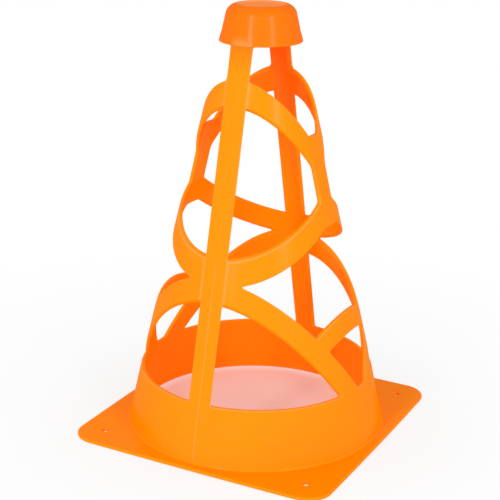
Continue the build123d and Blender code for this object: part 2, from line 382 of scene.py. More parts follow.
class Moulding:
    """Signed distance to the moulding's surface, negative in the plastic."""

    def __init__(self, sizes):
        self.sizes = sizes

    def windows(self, across, out, height):
        """Distance to the nearest window, negative in its opening."""
        corner = self.sizes.corner_radius
        leg = leg_side(across, out, height)
        bar_centre = BAR_CROWN - BAR_RADIUS
        over_bar = BAR_RADIUS - np.hypot(out, height - bar_centre)
        under_bar = np.hypot(out, height - bar_centre + BAR_DEPTH) - BAR_RADIUS
        over_lower = -above(LOWER_TOP, out, height)
        over_rim = RIM_HEIGHT - height

        top = round_max(-above(UPPER_TOP, out, height), WEB_HEIGHT - height, corner)
        top = round_max(round_max(top, leg, corner), height - CAP_RIM_HEIGHT, corner)

        beside_strut = STRUT_HALF_WIDTH - out
        middle = round_max(above(UPPER_BOTTOM, out, height), beside_strut, corner)
        middle = round_max(middle, -above(MIDDLE_TOP, out, height), corner)
        middle = round_max(middle, leg, corner)

        side = round_max(over_lower, over_bar, corner)
        side = round_max(side, middle_roof(out, height, corner), corner)

        foot = round_max(above(LOWER_BOTTOM, out, height), leg, corner)
        foot = round_max(foot, over_rim, corner)

        low = round_max(over_lower, under_bar, corner)
        low = round_max(low, over_rim, corner)
        return np.minimum.reduce([top, middle, side, foot, low])

    def outer_face(self, x, y, z):
        """Distance outside the turned wall's outer face, with the legs' flats and the cap's top."""
        sizes = self.sizes
        across, out, radius = np.abs(x), np.abs(y), np.hypot(x, y)
        lattice, plain_cap = wall_radius(z), cap_radius(z)
        over_rim = z - CAP_RIM_HEIGHT
        flare = sizes.rim_flare * (1 - ease(over_rim, *RIM_FLARE_FADE))
        step = ease(over_rim, *CAP_STEP)
        wall = (radius - lattice - (plain_cap + flare - lattice) * step) * CONE_COSINE

        face = LEG_FLAT_DEPTH - sizes.leg_proud + across * tan(sizes.leg_draft) - leg_depth(out, z)
        on_leg = ease(across, LEG_HALF_WIDTH + LEG_FACE_OUT, LEG_HALF_WIDTH - LEG_FACE_IN)
        on_leg = on_leg * ease(z, RIM_HEIGHT - LEG_FOOT_BELOW, RIM_HEIGHT + LEG_FOOT_ABOVE) * (1 - step)
        wall = wall + (face - wall) * on_leg

        # The flats over the legs trim the swelling of the cap's rim
        flat = (out - plain_cap - CAP_FLAT_PROUD) * CONE_COSINE
        wall = np.where(over_rim > 0, round_max(wall, flat, CAP_FLAT_EDGE_RADIUS), wall)

        on_face = ease(z, ARCH_HEIGHT, BAR_CROWN) * ease(z, *PARTING_FOOT)
        wall = wall - sizes.parting_height * np.exp(-(x / PARTING_WIDTH) ** 2) * on_face

        body = round_max(wall, z - TOTAL_HEIGHT, CAP_SHOULDER_RADIUS)
        slope = (radius - DISH_RADIUS + TOTAL_HEIGHT - z) / np.sqrt(2)
        dish = round_max(slope, DISH_FLOOR - z, DISH_FLOOR_RADIUS)
        return round_max(body, -dish, DISH_LIP_RADIUS)

    def hollow(self, radius, z):
        """Distance outside the hollow, negative in it."""
        lattice, cap = wall_radius(z), cap_radius(z)
        inner = lattice + (cap - lattice) * ease(z - CAP_RIM_HEIGHT, *INNER_CAP_STEP) - WALL
        ceiling = DISH_FLOOR - WALL
        return round_max((radius - inner) * CONE_COSINE, z - ceiling, CAP_CEILING_RADIUS)

    def plate(self, across, out, radius, z):
        """Distance outside the base plate, with its floor opening and corner holes."""
        swell_x = PLATE_BOW * (1 - (out / PLATE_HALF) ** 2)
        swell_y = PLATE_BOW * (1 - (across / PLATE_HALF) ** 2)
        past_x = across - PLATE_HALF - swell_x + PLATE_CORNER_RADIUS
        past_y = out - PLATE_HALF - swell_y + PLATE_CORNER_RADIUS
        outside = np.hypot(np.maximum(past_x, 0), np.maximum(past_y, 0))
        outline = outside + np.minimum(np.maximum(past_x, past_y), 0) - PLATE_CORNER_RADIUS
        half = PLATE_THICKNESS / 2
        plate = round_max(outline, np.abs(z - half) - half, PLATE_EDGE_RADIUS)
        plate = round_max(plate, FLOOR_OPENING_RADIUS - radius, FLOOR_OPENING_EDGE)
        hole = CORNER_HOLE_RADIUS - np.hypot(across - CORNER_HOLE_OUT, out - CORNER_HOLE_OUT)
        return round_max(plate, hole, CORNER_HOLE_EDGE)

    def __call__(self, points):
        x, y, z = points.T
        across, out, radius = np.abs(x), np.abs(y), np.hypot(x, y)
        wall = np.maximum(self.outer_face(x, y, z), -self.hollow(radius, z))
        wall = round_max(wall, -self.windows(across, out, z), self.sizes.edge_radius)
        wall = np.maximum(wall, PLATE_THICKNESS / 2 - z)
        outside = radius > SKIRT_FOOT_RADIUS - WALL / 2
        fillet = np.where(outside, self.sizes.foot_radius, self.sizes.inner_fillet)
        return round_min(self.plate(across, out, radius, z), wall, fillet)

    def rubbed(self, points, outward):
        """Painted highlights and reflections: how pale the edges that face up, the legs' edges and heads,
        the parting line and the dish are painted.
        """
        x, y, z = points.T
        across, out, radius = np.abs(x), np.abs(y), np.hypot(x, y)
        face = self.outer_face(x, y, z)
        edge = 1 - np.abs(face + self.windows(across, out, z)) / self.sizes.edge_radius
        edge = EDGE_HIGHLIGHT * np.clip(edge, 0, 1) * np.clip(2 * outward[:, 2], 0, 1)

        line = LINE_HIGHLIGHT * np.exp(-(x / PARTING_WIDTH) ** 2) * ease(z, ARCH_HEIGHT, BAR_CROWN)
        on_leg = (z > RIM_HEIGHT) & (z < CAP_RIM_HEIGHT)
        side = LINE_HIGHLIGHT * np.exp(-((across - LEG_HALF_WIDTH) / (2 * PARTING_WIDTH)) ** 2) * on_leg
        over_rim = z - CAP_RIM_HEIGHT
        head = FLAT_HIGHLIGHT * ease(across, LEG_HALF_WIDTH, LEG_HALF_WIDTH / 2) * ease(over_rim, *FLAT_HIGHLIGHT_FADE)
        head *= over_rim > 0
        on_face = (face > -FACE_SKIN) & (z > PLATE_THICKNESS + FOOT_CLEAR)
        on_face &= z < TOTAL_HEIGHT - CAP_SHOULDER_RADIUS

        dish = DISH_REFLECTION * ease(z, DISH_FLOOR - DISH_REFLECTION_DEPTH, DISH_FLOOR)
        dish *= ease(radius, DISH_RADIUS + DISH_REFLECTION_PAST, DISH_RADIUS)
        return np.maximum.reduce([edge, line * on_face, side * on_face, head * on_face, dish])

    def sheltered(self, points):
        """Painted shade: how much deep red is painted on the inner faces and the legs' sides, growing up
        the narrow top, where shade falls.
        """
        x, y, z = points.T
        inner = ease(self.hollow(np.hypot(x, y), z), *INNER_SKIN)
        under_face = ease(self.outer_face(x, y, z), *LEG_SIDE_DEPTH)
        side = under_face * ease(np.abs(x), LEG_HALF_WIDTH + LEG_SIDE_OUT, LEG_HALF_WIDTH)
        return PAINTED_SHADE_STRENGTH * np.maximum(inner, side) * ease(z, ARCH_HEIGHT, CAP_RIM_HEIGHT)

    def near(self, points):
        """Where the distance is worth working out: close to the plate, the wall or the cap's roof."""
        x, y, z = points.T
        radius, wall = np.hypot(x, y), wall_radius(z)
        reach = 2.5 * WALL
        on_plate = z < PLATE_THICKNESS + reach
        on_roof = z > DISH_FLOOR - WALL - reach
        return on_plate | (np.abs(radius - wall) < reach) | (on_roof & (radius < wall))

    def slope(self, points, value):
        """Gradient of the distance, from its value at the points."""
        shifts = np.eye(3) * SLOPE_STEP
        return np.stack([self(points + shift) - value for shift in shifts], axis=1) / SLOPE_STEP

    def outward(self, points):
        """Direction straight out of the surface."""
        slope = self.slope(points, self(points))
        return slope / np.linalg.norm(slope, axis=1)[:, None]

    def settle(self, points, steps=3):
        """Move points straight onto the surface."""
        for _ in range(steps):
            value = self(points)
            slope = self.slope(points, value)
            square = np.maximum((slope ** 2).sum(1), LEAST_SLOPE_SQUARE)
            points = points - slope * (value / square)[:, None]
        return points


def shared_edges(pairs):
    """The different edges among pairs of points, and the place of each pair among them."""
    pairs = np.sort(pairs, axis=1).astype(np.int64)
    span = pairs.max() + 1
    keys, place = np.unique(pairs[:, 0] * span + pairs[:, 1], return_inverse=True)
    return keys // span, keys % span, place


def grouped(count, pairs):
    """Number of the connected group that each of count things is in, where pairs are connected."""
    root = np.arange(count)
    while True:
        ends = root[pairs]
        if (ends[:, 0] == ends[:, 1]).all():
            return root
        np.minimum.at(root, ends.max(1), ends.min(1))
        while (root[root] != root).any():
            root = root[root]


def fill_diagonals(values, hair):
    """Fill a corner of each grid square with plastic on one diagonal only, so that no two sheets meet."""
    turned = True
    while turned:
        turned = False
        for axis in range(3):
            steps = np.zeros((4, 3), dtype=int)
            steps[[1, 2], (axis + 1) % 3] = 1
            steps[[2, 3], (axis + 2) % 3] = 1
            reach = np.array(values.shape) - steps.max(0)
            a, b, c, d = (
                values[tuple(slice(s, s + n) for s, n in zip(step, reach))] < 0 for step in steps)
            odd = (a == c) & (b == d) & (a != b)
            corners = np.argwhere(odd)[:, None, :] + steps
            held = values[tuple(np.moveaxis(corners, 2, 0))]
            nearest = np.where(held < 0, np.inf, held).argmin(1)
            chosen = corners[np.arange(len(corners)), nearest]
            values[tuple(chosen.T)] = -hair
            turned |= len(corners) > 0


def lay_mesh(shape, pitch):
    """Quads laid round the surface of a shape: one vertex in each grid cell that the surface crosses."""
    boxes = np.array([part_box(name) for name in MEMBERS])
    margin = GRID_MARGIN * pitch
    low = boxes[:, 0].min(0) - margin
    counts = np.ceil((boxes[:, 1].max(0) + margin - low) / pitch).astype(int) + 1
    axes = [low[a] + pitch * np.arange(counts[a]) for a in range(3)]
    values = np.full(counts, 1.0)
    plan = np.stack(np.meshgrid(axes[0], axes[1], indexing="ij"), axis=-1).reshape(-1, 2)
    for layer, height in enumerate(axes[2]):
        points = np.column_stack([plan, np.full(len(plan), height)])
        near = shape.near(points)
        level = np.full(len(plan), 1.0)
        level[near] = shape(points[near])
        values[:, :, layer] = level.reshape(counts[:2])
    fill_diagonals(values, hair=0.01 * pitch)

    inside = values < 0
    corners = [(i, j, k) for i in (0, 1) for j in (0, 1) for k in (0, 1)]
    cells = counts - 1

    def corner_of(array, corner):
        return array[tuple(slice(c, c + n) for c, n in zip(corner, cells))]

    filled = sum(corner_of(inside, c).astype(np.int8) for c in corners)
    crossed = (filled > 0) & (filled < 8)
    at = np.argwhere(crossed)
    number = np.full(cells, -1)
    number[crossed] = np.arange(len(at))

    held = np.stack([corner_of(values, c)[crossed] for c in corners], axis=1)
    total = np.zeros((len(at), 3))
    crossings = np.zeros(len(at))
    for a, first in enumerate(corners):
        for b, second in enumerate(corners):
            if a < b and sum(np.abs(np.subtract(first, second))) == 1:
                cut = (held[:, a] < 0) != (held[:, b] < 0)
                gap = np.where(cut, held[:, a] - held[:, b], 1)
                share = held[:, a] / gap
                spot = np.array(first) + share[:, None] * np.subtract(second, first)
                total += np.where(cut[:, None], spot, 0)
                crossings += cut
    points = low + pitch * (at + total / crossings[:, None])

    quads = []
    for axis in range(3):
        b, c = (axis + 1) % 3, (axis + 2) % 3
        ahead = np.roll(inside, -1, axis)
        changed = np.argwhere(inside != ahead)
        changed = changed[(changed > 0).all(1) & (changed < counts - 1).all(1)]
        around = []
        for back_b, back_c in ((0, 0), (1, 0), (1, 1), (0, 1)):
            cell = changed.copy()
            cell[:, b] -= back_b
            cell[:, c] -= back_c
            around.append(number[tuple(cell.T)])
        quad = np.stack(around, axis=1)
        leaving = inside[tuple(changed.T)]
        quads.append(np.where(leaving[:, None], quad, quad[:, ::-1]))
    return points, np.concatenate(quads)


def part_fans(points, quads):
    """Give each fan of quads its own point, where two sheets of the surface touch at one."""
    corners = np.arange(quads.size).reshape(quads.shape)
    starts, ends = corners.ravel(), np.roll(corners, -1, 1).ravel()
    _, _, place = shared_edges(np.column_stack([quads.ravel(), np.roll(quads, -1, 1).ravel()]))
    one, other = np.argsort(place, kind="stable").reshape(-1, 2).T
    links = np.concatenate([
        np.column_stack([starts[one], ends[other]]),
        np.column_stack([ends[one], starts[other]]),
    ])
    fans, quads_of_fans = np.unique(grouped(quads.size, links), return_inverse=True)
    return points[quads.ravel()[fans]], quads_of_fans.reshape(quads.shape)


def relax(points, quads, shape, rounds=2, pull=0.5):
    """Even out the mesh along the surface, by pulling each point towards the middle of its neighbours."""
    edges = np.concatenate([quads[:, [i, (i + 1) % 4]] for i in range(4)])
    for _ in range(rounds):
        total = np.zeros_like(points)
        np.add.at(total, edges[:, 0], points[edges[:, 1]])
        count = np.bincount(edges[:, 0], minlength=len(points))
        points = shape.settle(points + pull * (total / count[:, None] - points), steps=2)
    return points


def triangle_edges(triangles):
    """The different edges of the triangles, and the place of each triangle's three sides among them."""
    pairs = np.concatenate([triangles[:, [0, 1]], triangles[:, [1, 2]], triangles[:, [2, 0]]])
    first, second, place = shared_edges(pairs)
    return first, second, place.reshape(3, -1).T


def divide(triangles, split):
    """Divide triangles at the new points on their sides, and tell which triangle each part comes from."""
    halves = (split >= 0).sum(1)
    whole = np.flatnonzero(halves == 0)
    done, source = [triangles[whole]], [whole]
    for count in (1, 2, 3):
        chosen = np.flatnonzero(halves == count)
        corners, middles = triangles[chosen], split[chosen]
        start = (middles >= 0).argmax(1) if count == 1 else ((middles < 0).argmax(1) + 1) % 3
        order = (start[:, None] + np.arange(3)) % 3
        a, b, c = np.take_along_axis(corners, order, 1).T
        ab, bc, ca = np.take_along_axis(middles, order, 1).T
        parts = {
            1: ((a, ab, c), (ab, b, c)),
            2: ((ab, b, bc), (a, ab, bc), (a, bc, c)),
            3: ((a, ab, ca), (ab, b, bc), (ca, bc, c), (ab, bc, ca)),
        }[count]
        done.extend(np.column_stack(part) for part in parts)
        source.extend([chosen] * len(parts))
    return np.concatenate(done), np.concatenate(source)


def refine(points, triangles, shape, rounds=3):
    """Halve the edges along which the surface turns too far, as it does round the rims of the windows."""
    for _ in range(rounds):
        outward = shape.outward(points)
        first, second, place = triangle_edges(triangles)
        bent = (outward[first] * outward[second]).sum(1) < cos(GREATEST_BEND)
        middle = np.full(len(first), -1)
        middle[bent] = len(points) + np.arange(bent.sum())
        added = shape.settle((points[first[bent]] + points[second[bent]]) / 2)
        points = np.concatenate([points, added])
        triangles, _ = divide(triangles, middle[place])
    return points, triangles


def cut(points, triangles, value):
    """Cut the whole mesh along the line on which value is zero, and tell which side each part is on."""
    side = np.sign(np.where(np.abs(value) < ON_LINE, 0, value))
    first, second, place = triangle_edges(triangles)
    crossed = side[first] * side[second] < 0
    middle = np.full(len(first), -1)
    middle[crossed] = len(points) + np.arange(crossed.sum())
    start, end = first[crossed], second[crossed]
    share = (value[start] / (value[start] - value[end]))[:, None]
    points = np.concatenate([points, points[start] + share * (points[end] - points[start])])
    side = np.concatenate([side, np.zeros(len(start))])
    triangles, source = divide(triangles, middle[place])
    return points, triangles, source, side[triangles].sum(1) > 0


def seam_fields(points):
    """Signed distances from the joint lines between neighbouring members."""
    x, y, z = points.T
    across, out = np.abs(x), np.abs(y)
    return {
        "plate": z - PLATE_THICKNESS - SEAM,
        "rim": z - RIM_HEIGHT - SEAM,
        "cap": z - CAP_RIM_HEIGHT + SEAM,
        "leg": leg_side(across, out, z) + SEAM,
        "upper": above(UPPER_BOTTOM, out, z) + SEAM,
        "strut": above(MIDDLE_TOP, out, z) - SEAM,
        "middle": np.maximum(above(MIDDLE_BOTTOM, out, z), z - ARCH_HEIGHT) + SEAM,
        "bar": above(LOWER_TOP, out, z) - SEAM,
        "end": y,
        "side": x,
    }


# Joint lines in the order in which they are cut: first the two middle planes, about which the rest is even
JOINT_LINES = ("side", "end", "plate", "rim", "cap", "leg", "upper", "strut", "middle", "bar")


def member_numbers(beyond):
    """Number in MEMBERS of the member that each triangle belongs to, from its side of every joint line."""
    end = beyond["end"].astype(int)
    side = 1 - beyond["side"].astype(int)
    quarter = len(ENDS) * side + end
    first = {family: MEMBERS.index(names[0]) for family, names in FAMILIES.items()}
    tests = (
        (~beyond["plate"], first["base_plate"]),
        (~beyond["rim"], first["skirt_ring"]),
        (beyond["cap"], first["top_cap"]),
        (beyond["leg"], first["legs"] + end),
        (beyond["upper"], first["upper_bands"] + quarter),
        (beyond["strut"], first["struts"] + side),
        (beyond["middle"], first["middle_bands"] + quarter),
        (beyond["bar"], first["cross_bars"] + side),
    )
    conditions, numbers = zip(*tests)
    return np.select(list(conditions), list(numbers), first["lower_bands"] + quarter)


def join_islands(belongs, neighbours, rounds=4):
    """Give each scrap of fillet that a joint line cuts off to the member that it has most edges with."""
    belongs = belongs.copy()
    for _ in range(rounds):
        alike = belongs[neighbours[:, 0]] == belongs[neighbours[:, 1]]
        group = grouped(len(belongs), neighbours[alike])
        size = np.bincount(group, minlength=len(belongs))
        main = np.zeros(len(belongs), dtype=bool)
        for number in range(len(MEMBERS)):
            own = np.flatnonzero(belongs == number)
            main[group[own[size[group[own]].argmax()]]] = True
        loose = ~main[group]
        if not loose.any():
            break
        both = np.concatenate([neighbours, neighbours[:, ::-1]])
        both = both[loose[both[:, 0]] & ~loose[both[:, 1]]]
        for island in np.unique(group[both[:, 0]]):
            met = belongs[both[group[both[:, 0]] == island, 1]]
            belongs[group == island] = np.bincount(met).argmax()
    return belongs


def trim_ears(belongs, across, rounds=8):
    """Give a triangle with two sides on one neighbour to it, so that the joint lines run smoothly."""
    belongs = belongs.copy()
    for turn in range(rounds):
        other = np.sort(np.where(belongs[across] == belongs[:, None], -1, belongs[across]), axis=1)
        twice = np.where((other[:, 1] == other[:, 2]) & (other[:, 1] >= 0), other[:, 1], belongs)
        changed = twice > belongs if turn % 2 else twice < belongs
        belongs[changed] = twice[changed]
    return belongs


@lru_cache(maxsize=1)
def moulded_members(sizes):
    """Points, outward directions, marks for the painted highlights and painted shade, triangles and cut
    edges of every member.
    """
    shape = Moulding(sizes)
    pitch = sizes.pitch * 1
    points, quads = part_fans(*lay_mesh(shape, pitch))
    points = relax(shape.settle(points), quads, shape)
    triangles = np.concatenate([quads[:, [0, 1, 2]], quads[:, [0, 2, 3]]])
    points, triangles = refine(points, triangles, shape)
    for line in PARTING_CUTS:
        points, triangles, _, _ = cut(points, triangles, points[:, 0] - line * PARTING_WIDTH)
    beyond = {}
    for line in JOINT_LINES:
        points, triangles, source, upper = cut(points, triangles, seam_fields(points)[line])
        beyond = {name: mark[source] for name, mark in beyond.items()}
        beyond[line] = upper

    first, second, place = triangle_edges(triangles)
    beside = np.argsort(place.T.ravel(), kind="stable") % len(triangles)
    neighbours = beside.reshape(-1, 2)
    belongs = join_islands(member_numbers(beyond), neighbours)
    across = neighbours[place].sum(2) - np.arange(len(triangles))[:, None]
    belongs = trim_ears(belongs, across)
    points = shape.settle(points, steps=2)
    outward = shape.outward(points)
    # Painted highlights and reflections, and painted shade, kept as marks on the points
    marks = {"rubbed": shape.rubbed(points, outward), "sheltered": shape.sheltered(points)}
    members = {}
    sides = belongs[neighbours]
    for number, name in enumerate(MEMBERS):
        used, local = np.unique(triangles[belongs == number], return_inverse=True)
        edge = (sides == number).sum(1) == 1
        other = np.where(sides[edge, 0] == number, sides[edge, 1], sides[edge, 0])
        ends = np.searchsorted(used, np.column_stack([first[edge], second[edge]]))
        joints = [ends[other == met] for met in np.unique(other)]
        own_marks = {mark: values[used] for mark, values in marks.items()}
        members[name] = (points[used], outward[used], own_marks, local.reshape(-1, 3), joints)
    return members


def linked(edges):
    """The separate loops among some edges."""
    waiting = dict.fromkeys(edges)
    loops = []
    while waiting:
        loop = [waiting.popitem()[0]]
        for edge in loop:
            for vertex in edge.verts:
                found = [other for other in vertex.link_edges if other in waiting]
                for other in found:
                    del waiting[other]
                loop.extend(found)
        loops.append(loop)
    return loops


def disagreement(face, own):
    """How many faces round a face run against it, less those that run with it, leaving out its own kind."""
    beside = [(loop, loop.link_loop_radial_next) for loop in face.loops]
    return sum(1 if far.vert == near.vert else -1 for near, far in beside if far.face not in own)


def face_out(work, faces):
    """Turn closing faces to agree with the faces that they meet, and keep them flat."""
    for face in faces:
        face.smooth = False
    patch = set(faces)
    if sum(disagreement(face, patch) for face in faces) > 0:
        bmesh.ops.reverse_faces(work, faces=faces)
    folded = [face for face in faces if disagreement(face, {face}) > 0]
    bmesh.ops.reverse_faces(work, faces=folded)


def close_joint(work, joint):
    """Close the cut face between a member and one neighbour, from the edges that they share."""
    edges = [work.edges.get((work.verts[a], work.verts[b])) for a, b in joint]
    counts = np.bincount(joint.ravel())
    ends = [work.verts[number] for number in np.flatnonzero(counts == 1)]
    while ends:
        start = ends.pop()
        far = min(ends, key=lambda vertex: (vertex.co - start.co).length)
        ends.remove(far)
        edges.append(work.edges.get((start, far)) or work.edges.new((start, far)))
    loops = linked(edges)
    rings = [loop for loop in loops if sum(edge.calc_length() for edge in loop) > RING_LENGTH]
    patches = [loop for loop in loops if loop not in rings]
    if rings:
        patches.append([edge for loop in rings for edge in loop])
    for patch in patches:
        filled = bmesh.ops.triangle_fill(work, edges=patch, use_beauty=True)["geom"]
        face_out(work, [part for part in filled if isinstance(part, bmesh.types.BMFace)])


def close_cuts(mesh, joints):
    """Close the cut faces of a member, one for each neighbour."""
    work = bmesh.new()
    work.from_mesh(mesh)
    work.verts.ensure_lookup_table()
    for joint in joints:
        close_joint(work, joint)
    work.to_mesh(mesh)
    work.free()


def current_sizes():
    """The sizes in the panel, as plain values."""
    panel = bpy.context.scene.cone_moulding
    return Sizes(*(getattr(panel, field) for field in Sizes._fields))


def moulded_piece(name):
    """Make one member, as an object in place of the construction's node."""
    points, outward, marks, triangles, joints = moulded_members(current_sizes())[name]
    mesh = bpy.data.meshes.new(name)
    mesh.from_pydata(points.tolist(), [], triangles.tolist())
    mesh.polygons.foreach_set("use_smooth", [True] * len(triangles))
    close_cuts(mesh, joints)
    smooth = np.zeros(len(mesh.polygons), dtype=bool)
    mesh.polygons.foreach_get("use_smooth", smooth)
    corner_points = np.zeros(len(mesh.loops), dtype=int)
    mesh.loops.foreach_get("vertex_index", corner_points)
    normals = outward[corner_points] * np.repeat(smooth, 3)[:, None]
    mesh.normals_split_custom_set(normals.tolist())
    for mark, values in marks.items():
        mesh.attributes.new(mark, "FLOAT", "POINT").data.foreach_set("value", values.astype(np.float32))
    piece = bpy.data.objects.new(f"{name}_moulded", mesh)
    bpy.context.scene.collection.objects.link(piece)
    mesh.materials.append(orange_plastic())
    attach(piece, "root")
    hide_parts(name)


def noise_socket(nodes, links, place, scale, detail, distortion=0.0):
    """Noise over the object's own coordinates."""
    noise = nodes.new("ShaderNodeTexNoise")
    noise.inputs["Scale"].default_value = scale
    noise.inputs["Detail"].default_value = detail
    noise.inputs["Distortion"].default_value = distortion
    links.new(place, noise.inputs["Vector"])
    return noise.outputs["Fac"]


def mark_socket(nodes, name):
    """One of the marks that the mesh carries for its colour: painted highlights or painted shade."""
    mark = nodes.new("ShaderNodeAttribute")
    mark.attribute_name = name
    return mark.outputs["Fac"]


def colour_socket(nodes, links, factor, first, second):
    """Mix from the first colour, which may be another node's socket, to the second."""
    mix = nodes.new("ShaderNodeMix")
    mix.data_type = "RGBA"
    if isinstance(first, bpy.types.NodeSocket):
        links.new(first, mix.inputs["A"])
    else:
        mix.inputs["A"].default_value = (*first, 1)
    mix.inputs["B"].default_value = (*second, 1)
    links.new(factor, mix.inputs["Factor"])
    return mix.outputs["Result"]


def larger_socket(nodes, links, first, second):
    """The larger of two sockets."""
    larger = nodes.new("ShaderNodeMath")
    larger.operation = "MAXIMUM"
    links.new(first, larger.inputs[0])
    links.new(second, larger.inputs[1])
    return larger.outputs["Value"]


def bump_node(nodes, links, height, strength, distance):
    """Bump that a height gives the surface."""
    bump = nodes.new("ShaderNodeBump")
    bump.inputs["Strength"].default_value = strength
    bump.inputs["Distance"].default_value = distance
    links.new(height, bump.inputs["Height"])
    return bump


def pigment(nodes, links, place, finish):
    """Colour of the plastic with its flow streaks, then painted shade: deeper over the cap, where no light
    shines through, and deep red on the inner faces up in the top.
    """
    flow = noise_socket(nodes, links, place, scale=26.0, detail=4.0, distortion=1.2)
    colour = colour_socket(nodes, links, flow, finish.body_colour, finish.flow_colour)
    axes = nodes.new("ShaderNodeSeparateXYZ")
    links.new(place, axes.inputs["Vector"])
    # Painted shade: the colour deepens over the cap, where no light shines through
    closed = nodes.new("ShaderNodeMapRange")
    closed.interpolation_type = "SMOOTHSTEP"
    closed.inputs["From Min"].default_value = CAP_RIM_HEIGHT - CAP_SHADE_BELOW
    closed.inputs["From Max"].default_value = CAP_RIM_HEIGHT + CAP_SHADE_ABOVE
    links.new(axes.outputs["Z"], closed.inputs["Value"])
    colour = colour_socket(nodes, links, closed.outputs["Result"], colour, finish.cap_colour)
    # Painted shade: deep red on the inner faces and the legs' sides up in the narrow top
    return colour_socket(nodes, links, mark_socket(nodes, "sheltered"), colour, finish.inner_colour)


def scuffs_and_highlights(nodes, links, place):
    """How far the colour pales: fine scuffs all over, and the painted highlights and reflections on the
    edges, lines, flats and dish.
    """
    scuffs = nodes.new("ShaderNodeValToRGB")
    none, full = scuffs.color_ramp.elements
    none.position, full.position = SCUFF_RANGE
    none.color = (0, 0, 0, 1)
    full.color = (SCUFF_STRENGTH, SCUFF_STRENGTH, SCUFF_STRENGTH, 1)
    links.new(noise_socket(nodes, links, place, scale=420.0, detail=3.0), scuffs.inputs["Fac"])
    return larger_socket(nodes, links, scuffs.outputs["Color"], mark_socket(nodes, "rubbed"))


def orange_plastic():
    """Soft satin orange plastic under a thin glossy skin, with streaks, scuffs, fine grain and ripples, and
    with painted highlights, painted reflections, painted shade and a painted red glow.
    """
    known = bpy.data.materials.get("orange_plastic_finish")
    if known:
        return known
    finish = bpy.context.scene.cone_finish
    material = bpy.data.materials.new("orange_plastic_finish")
    material.use_nodes = True
    nodes, links = material.node_tree.nodes, material.node_tree.links
    shader = nodes["Principled BSDF"]
    shader.inputs["Roughness"].default_value = finish.body_roughness
    shader.inputs["Specular IOR Level"].default_value = 0.0
    shader.inputs["Coat Weight"].default_value = finish.gloss
    shader.inputs["Coat Roughness"].default_value = finish.skin_roughness
    shader.inputs["Coat IOR"].default_value = finish.skin_ior
    # Painted glow: constant red emission that lifts the red in the shaded faces
    shader.inputs["Emission Color"].default_value = (*finish.glow_colour, 1)
    shader.inputs["Emission Strength"].default_value = finish.day_glow

    place = nodes.new("ShaderNodeTexCoord").outputs["Object"]
    colour = pigment(nodes, links, place, finish)
    # Scuffs, and the painted highlights and reflections, pale the colour
    scuffed_and_highlighted = colour_socket(nodes, links, scuffs_and_highlights(nodes, links, place), colour, finish.scuff_colour)
    links.new(scuffed_and_highlighted, shader.inputs["Base Color"])

    grain = noise_socket(nodes, links, place, scale=1500.0, detail=2.0)
    ripple = noise_socket(nodes, links, place, scale=90.0, detail=1.0)
    fine = bump_node(nodes, links, grain, strength=0.12, distance=0.05 * MM)
    wavy = bump_node(nodes, links, ripple, strength=0.35, distance=0.15 * MM)
    links.new(fine.outputs["Normal"], wavy.inputs["Normal"])
    links.new(wavy.outputs["Normal"], shader.inputs["Normal"])
    links.new(wavy.outputs["Normal"], shader.inputs["Coat Normal"])
    return material


def make_family(family):
    """Make every member of a family, as an operator's whole work."""
    for name in FAMILIES[family]:
        moulded_piece(name)
    return {"FINISHED"}


class CONE_OT_base_plate(bpy.types.Operator):
    """Square plate with swollen sides, a round floor opening and a hole near each corner"""
    bl_idname = "cone.base_plate"
    bl_label = "Base Plate"
    bl_options = {"REGISTER", "UNDO"}

    def execute(self, context):
        return make_family("base_plate")


class CONE_OT_skirt_ring(bpy.types.Operator):
    """Conical ring from the plate to the rim that carries the lattice"""
    bl_idname = "cone.skirt_ring"
    bl_label = "Skirt Ring"
    bl_options = {"REGISTER", "UNDO"}

    def execute(self, context):
        return make_family("skirt_ring")


class CONE_OT_legs(bpy.types.Operator):
    """Two straight legs with flat faces, from the rim to the cap"""
    bl_idname = "cone.legs"
    bl_label = "Legs"
    bl_options = {"REGISTER", "UNDO"}

    def execute(self, context):
        return make_family("legs")


class CONE_OT_upper_bands(bpy.types.Operator):
    """Four strips that fall from the tops of the legs to the struts"""
    bl_idname = "cone.upper_bands"
    bl_label = "Upper Bands"
    bl_options = {"REGISTER", "UNDO"}

    def execute(self, context):
        return make_family("upper_bands")


class CONE_OT_middle_bands(bpy.types.Operator):
    """Four strips that rise from the legs to the struts"""
    bl_idname = "cone.middle_bands"
    bl_label = "Middle Bands"
    bl_options = {"REGISTER", "UNDO"}

    def execute(self, context):
        return make_family("middle_bands")


class CONE_OT_lower_bands(bpy.types.Operator):
    """Four strips that rise from the rim to the legs"""
    bl_idname = "cone.lower_bands"
    bl_label = "Lower Bands"
    bl_options = {"REGISTER", "UNDO"}

    def execute(self, context):
        return make_family("lower_bands")


class CONE_OT_struts(bpy.types.Operator):
    """Short uprights between the middle and upper bands"""
    bl_idname = "cone.struts"
    bl_label = "Side Struts"
    bl_options = {"REGISTER", "UNDO"}

    def execute(self, context):
        return make_family("struts")


class CONE_OT_cross_bars(bpy.types.Operator):
    """Arched bars between the lower bands"""
    bl_idname = "cone.cross_bars"
    bl_label = "Cross Bars"
    bl_options = {"REGISTER", "UNDO"}

    def execute(self, context):
        return make_family("cross_bars")


class CONE_OT_top_cap(bpy.types.Operator):
    """Hollow cap with a round shoulder and a shallow dish"""
    bl_idname = "cone.top_cap"
    bl_label = "Top Cap"
    bl_options = {"REGISTER", "UNDO"}

    def execute(self, context):
        return make_family("top_cap")


